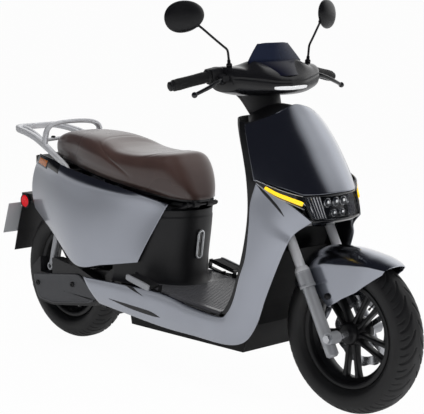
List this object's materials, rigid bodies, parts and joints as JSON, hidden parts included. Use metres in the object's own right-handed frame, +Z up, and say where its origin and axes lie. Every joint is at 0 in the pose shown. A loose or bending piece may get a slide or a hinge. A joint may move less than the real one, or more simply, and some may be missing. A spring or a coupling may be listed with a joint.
{
  "type": "moped scooter",
  "caption": "Step-through electric moped scooter with a fork, a swingarm drive, a hinged seat, a luggage rack, a small screen, mirrors and a folding centre stand.",
  "frame": {"origin": "on the ground under the middle of the bounding box", "axes": "+X forward, +Y to the rider's left, +Z up"},
  "size_m": [1.8218, 0.7402, 1.2081],
  "materials": {
    "frame_black": "satin",
    "body_grey": "metallic paint",
    "black_plastic": "satin",
    "floor_rubber": "grooved",
    "clear_lens": "clear",
    "smoke_lens": "smoked",
    "amber_lens": "moulded",
    "orange_lens": "moulded",
    "red_lens": "moulded",
    "white_lens": "diffusing",
    "plate_grey": "plain",
    "silver": "satin",
    "steel": "ground",
    "rim_black": "satin",
    "tyre_black": "treaded",
    "grip_rubber": "ribbed",
    "dark_grey": "satin",
    "seat_brown": "grained",
    "battery_grey": "satin",
    "horn_yellow": "satin",
    "mode_red": "satin"
  },
  "bodies": {
    "chassis": {"main_frame": "frame_black", "headset_bearings": "steel", "front_apron": "body_grey", "side_skirt_right": "body_grey", "side_skirt_left": "body_grey", "inner_leg_shield": "black_plastic", "underbody": "black_plastic", "floorboard": "floor_rubber", "headlight_housing": "black_plastic", "headlight_lens": "clear_lens", "front_indicators": "amber_lens", "seat_base_cover": "black_plastic", "slot_trim": "silver", "side_panel_right": "body_grey", "side_panel_left": "body_grey", "tail_cover": "black_plastic", "tail_lamps": "red_lens", "rear_indicators": "orange_lens", "number_plate": "plate_grey", "grab_rack": "silver", "battery_packs": "battery_grey"},
    "steering": {"fork_crown": "steel", "handlebar": "frame_black", "handlebar_cowl": "black_plastic", "wind_screen": "smoke_lens", "position_light": "white_lens", "left_grip": "grip_rubber", "switch_housings": "black_plastic"},
    "throttle": {"throttle_grip": "grip_rubber"},
    "lever_right": {"brake_lever_right": "frame_black"},
    "lever_left": {"brake_lever_left": "frame_black"},
    "mirror_right_head": {"mirror_right": "black_plastic"},
    "mirror_left_head": {"mirror_left": "black_plastic"},
    "mode_key": {"mode_button": "mode_red"},
    "horn_key": {"horn_button": "horn_yellow"},
    "fork_slider": {"fork_legs": "silver", "front_fender": "body_grey", "front_axle": "steel", "front_caliper": "dark_grey"},
    "front_wheel": {"front_tyre": "tyre_black", "front_rim": "rim_black", "front_disc": "steel"},
    "swing_unit": {"swingarm": "frame_black", "drive_cover": "dark_grey", "rear_axle": "steel", "rear_caliper": "dark_grey"},
    "rear_wheel": {"rear_tyre": "tyre_black", "rear_rim": "rim_black", "rear_disc": "steel"},
    "shock_upper_right": {"shock_rod_right": "frame_black", "shock_spring_right": "steel"},
    "shock_lower_right": {"shock_tube_right": "silver"},
    "shock_upper_left": {"shock_rod_left": "frame_black", "shock_spring_left": "steel"},
    "shock_lower_left": {"shock_tube_left": "silver"},
    "seat": {"seat_pan": "black_plastic", "seat_cushion": "seat_brown"},
    "stand": {"centre_stand": "frame_black"},
    "peg_right": {"foot_peg_right": "dark_grey"},
    "peg_left": {"foot_peg_left": "dark_grey"}
  },
  "joints": [
    {"name": "steering_turn", "type": "hinge", "parent": "chassis", "child": "steering", "pos_m": [0.64981, 0, 0.22873], "axis": [-0.4695, 0, 0.8829], "range_deg": [-36, 36]},
    {"name": "fork_travel", "type": "slide", "parent": "steering", "child": "fork_slider", "axis": [-0.4695, 0, 0.8829], "range_m": [0, 0.055], "stiffness_N_per_m": 14000, "springref_m": -0.06},
    {"name": "front_wheel_spin", "type": "hinge", "parent": "fork_slider", "child": "front_wheel", "pos_m": [0.671, 0, 0.24], "axis": [0, 1, 0], "continuous": true},
    {"name": "throttle_twist", "type": "hinge", "parent": "steering", "child": "throttle", "pos_m": [0.263, -0.345, 0.962], "axis": [-0.1599, -0.9711, -0.1771], "range_deg": [0, 70], "stiffness_Nm_per_rad": 0.35, "springref_deg": -17.19},
    {"name": "brake_right", "type": "hinge", "parent": "steering", "child": "lever_right", "pos_m": [0.32774, -0.19805, 0.97576], "axis": [0.0288, 0.1747, -0.9842], "range_deg": [0, 16], "stiffness_Nm_per_rad": 2.5, "springref_deg": -11.46},
    {"name": "brake_left", "type": "hinge", "parent": "steering", "child": "lever_left", "pos_m": [0.32774, 0.19805, 0.97576], "axis": [-0.0288, 0.1747, 0.9842], "range_deg": [0, 16], "stiffness_Nm_per_rad": 2.5, "springref_deg": -11.46},
    {"name": "mirror_right_swivel", "type": "hinge", "parent": "steering", "child": "mirror_right_head", "pos_m": [0.321, -0.172, 1.018], "axis": [0, 0, 1], "range_deg": [-35, 35]},
    {"name": "mirror_left_swivel", "type": "hinge", "parent": "steering", "child": "mirror_left_head", "pos_m": [0.321, 0.172, 1.018], "axis": [0, 0, 1], "range_deg": [-35, 35]},
    {"name": "mode_press", "type": "slide", "parent": "steering", "child": "mode_key", "axis": [0.9867, -0.1625, 0], "range_m": [0, 0.0025], "stiffness_N_per_m": 400, "springref_m": -0.002},
    {"name": "horn_press", "type": "slide", "parent": "steering", "child": "horn_key", "axis": [0.9867, 0.1625, 0], "range_m": [0, 0.0025], "stiffness_N_per_m": 400, "springref_m": -0.002},
    {"name": "seat_hinge", "type": "hinge", "parent": "chassis", "child": "seat", "pos_m": [0.023, 0, 0.553], "axis": [0, 1, 0], "range_deg": [0, 70]},
    {"name": "swingarm_pivot", "type": "hinge", "parent": "chassis", "child": "swing_unit", "pos_m": [-0.309, 0, 0.262], "axis": [0, 1, 0], "range_deg": [0, 8], "stiffness_Nm_per_rad": 1500, "springref_deg": -9.17},
    {"name": "rear_wheel_spin", "type": "hinge", "parent": "swing_unit", "child": "rear_wheel", "pos_m": [-0.629, 0, 0.24], "axis": [0, 1, 0], "continuous": true},
    {"name": "shock_right_pivot", "type": "hinge", "parent": "chassis", "child": "shock_upper_right", "pos_m": [-0.561, -0.106, 0.556], "axis": [0, 1, 0], "range_deg": [-0.5, 3]},
    {"name": "shock_right_stroke", "type": "slide", "parent": "shock_upper_right", "child": "shock_lower_right", "axis": [0.2738, 0, 0.9618], "range_m": [0, 0.05], "deforming": ["shock_spring_right"]},
    {"name": "shock_left_pivot", "type": "hinge", "parent": "chassis", "child": "shock_upper_left", "pos_m": [-0.561, 0.106, 0.556], "axis": [0, 1, 0], "range_deg": [-0.5, 3]},
    {"name": "shock_left_stroke", "type": "slide", "parent": "shock_upper_left", "child": "shock_lower_left", "axis": [0.2738, 0, 0.9618], "range_m": [0, 0.05], "deforming": ["shock_spring_left"]},
    {"name": "stand_swing", "type": "hinge", "parent": "chassis", "child": "stand", "pos_m": [-0.194, 0, 0.18], "axis": [0, -1, 0], "range_deg": [0, 104]},
    {"name": "peg_right_fold", "type": "hinge", "parent": "chassis", "child": "peg_right", "pos_m": [-0.054, -0.168, 0.312], "axis": [-0.9799, 0, 0.1994], "range_deg": [0, 55]},
    {"name": "peg_left_fold", "type": "hinge", "parent": "chassis", "child": "peg_left", "pos_m": [-0.054, 0.168, 0.312], "axis": [0.9799, 0, -0.1994], "range_deg": [0, 55]}
  ],
  "couplings": [
    {"joint": "shock_right_pivot", "follows": "swingarm_pivot", "ratio": 0.25794},
    {"joint": "shock_right_stroke", "follows": "swingarm_pivot", "m_per_rad": 0.32587},
    {"joint": "shock_left_pivot", "follows": "swingarm_pivot", "ratio": 0.25794},
    {"joint": "shock_left_stroke", "follows": "swingarm_pivot", "m_per_rad": 0.32587}
  ]
}
